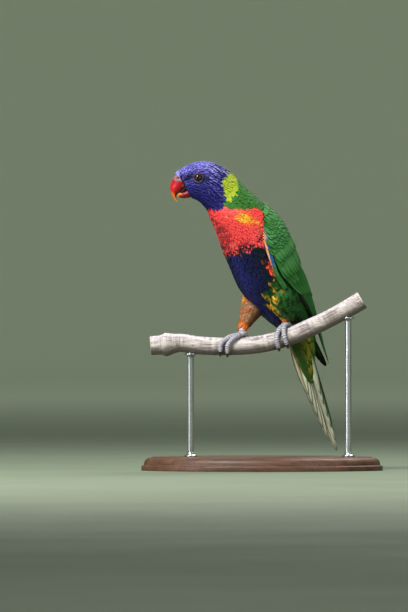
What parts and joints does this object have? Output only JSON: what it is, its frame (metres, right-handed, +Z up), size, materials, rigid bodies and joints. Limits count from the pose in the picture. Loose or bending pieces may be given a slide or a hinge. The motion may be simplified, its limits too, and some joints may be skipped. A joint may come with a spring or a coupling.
{
  "type": "rainbow lorikeet",
  "caption": "Life-size rainbow lorikeet with folded wings and a long graduated tail, gripping a cut branch held by upright rods on a flat oval base.",
  "frame": {"origin": "centre of the underside of the stand's base", "axes": "+Z up, the bird's head faces -X, and the viewer of the picture stands at -Y"},
  "size_m": [0.21, 0.15, 0.2692],
  "materials": {
    "head_feathers": "shaft-streaked violet-blue feathers",
    "neck_feathers": "soft yellow-green collar and green hind neck",
    "body_feathers": "scaled red breast, deep blue belly, green back",
    "wing_feathers": "smooth green vanes with darker edges",
    "tail_feathers": "green above, yellow-green below",
    "thigh_feathers": "soft green and orange-yellow feathers",
    "foot_skin": "scaly grey skin",
    "claw": "black horn",
    "eye": "wet red-brown iris round a black pupil",
    "bill": "satin red horn, orange at the tip",
    "bark": "smooth grey-brown bark",
    "base_wood": "dark stained and waxed wood",
    "rod_steel": "brushed"
  },
  "bodies": {
    "root": {"head": "head_feathers", "neck": "neck_feathers", "torso": "body_feathers", "wing_left": "wing_feathers", "wing_right": "wing_feathers", "tail": "tail_feathers", "thigh_left": "thigh_feathers", "thigh_right": "thigh_feathers", "foot_left": "foot_skin", "foot_right": "foot_skin", "claw_left_1": "claw", "claw_left_2": "claw", "claw_left_3": "claw", "claw_left_4": "claw", "claw_right_1": "claw", "claw_right_2": "claw", "claw_right_3": "claw", "claw_right_4": "claw", "eye_left": "eye", "eye_right": "eye", "bill_upper": "bill", "bill_lower": "bill", "perch": "bark", "stand_base": "base_wood", "stand_rod_left": "rod_steel", "stand_rod_right": "rod_steel"}
  },
  "joints": []
}
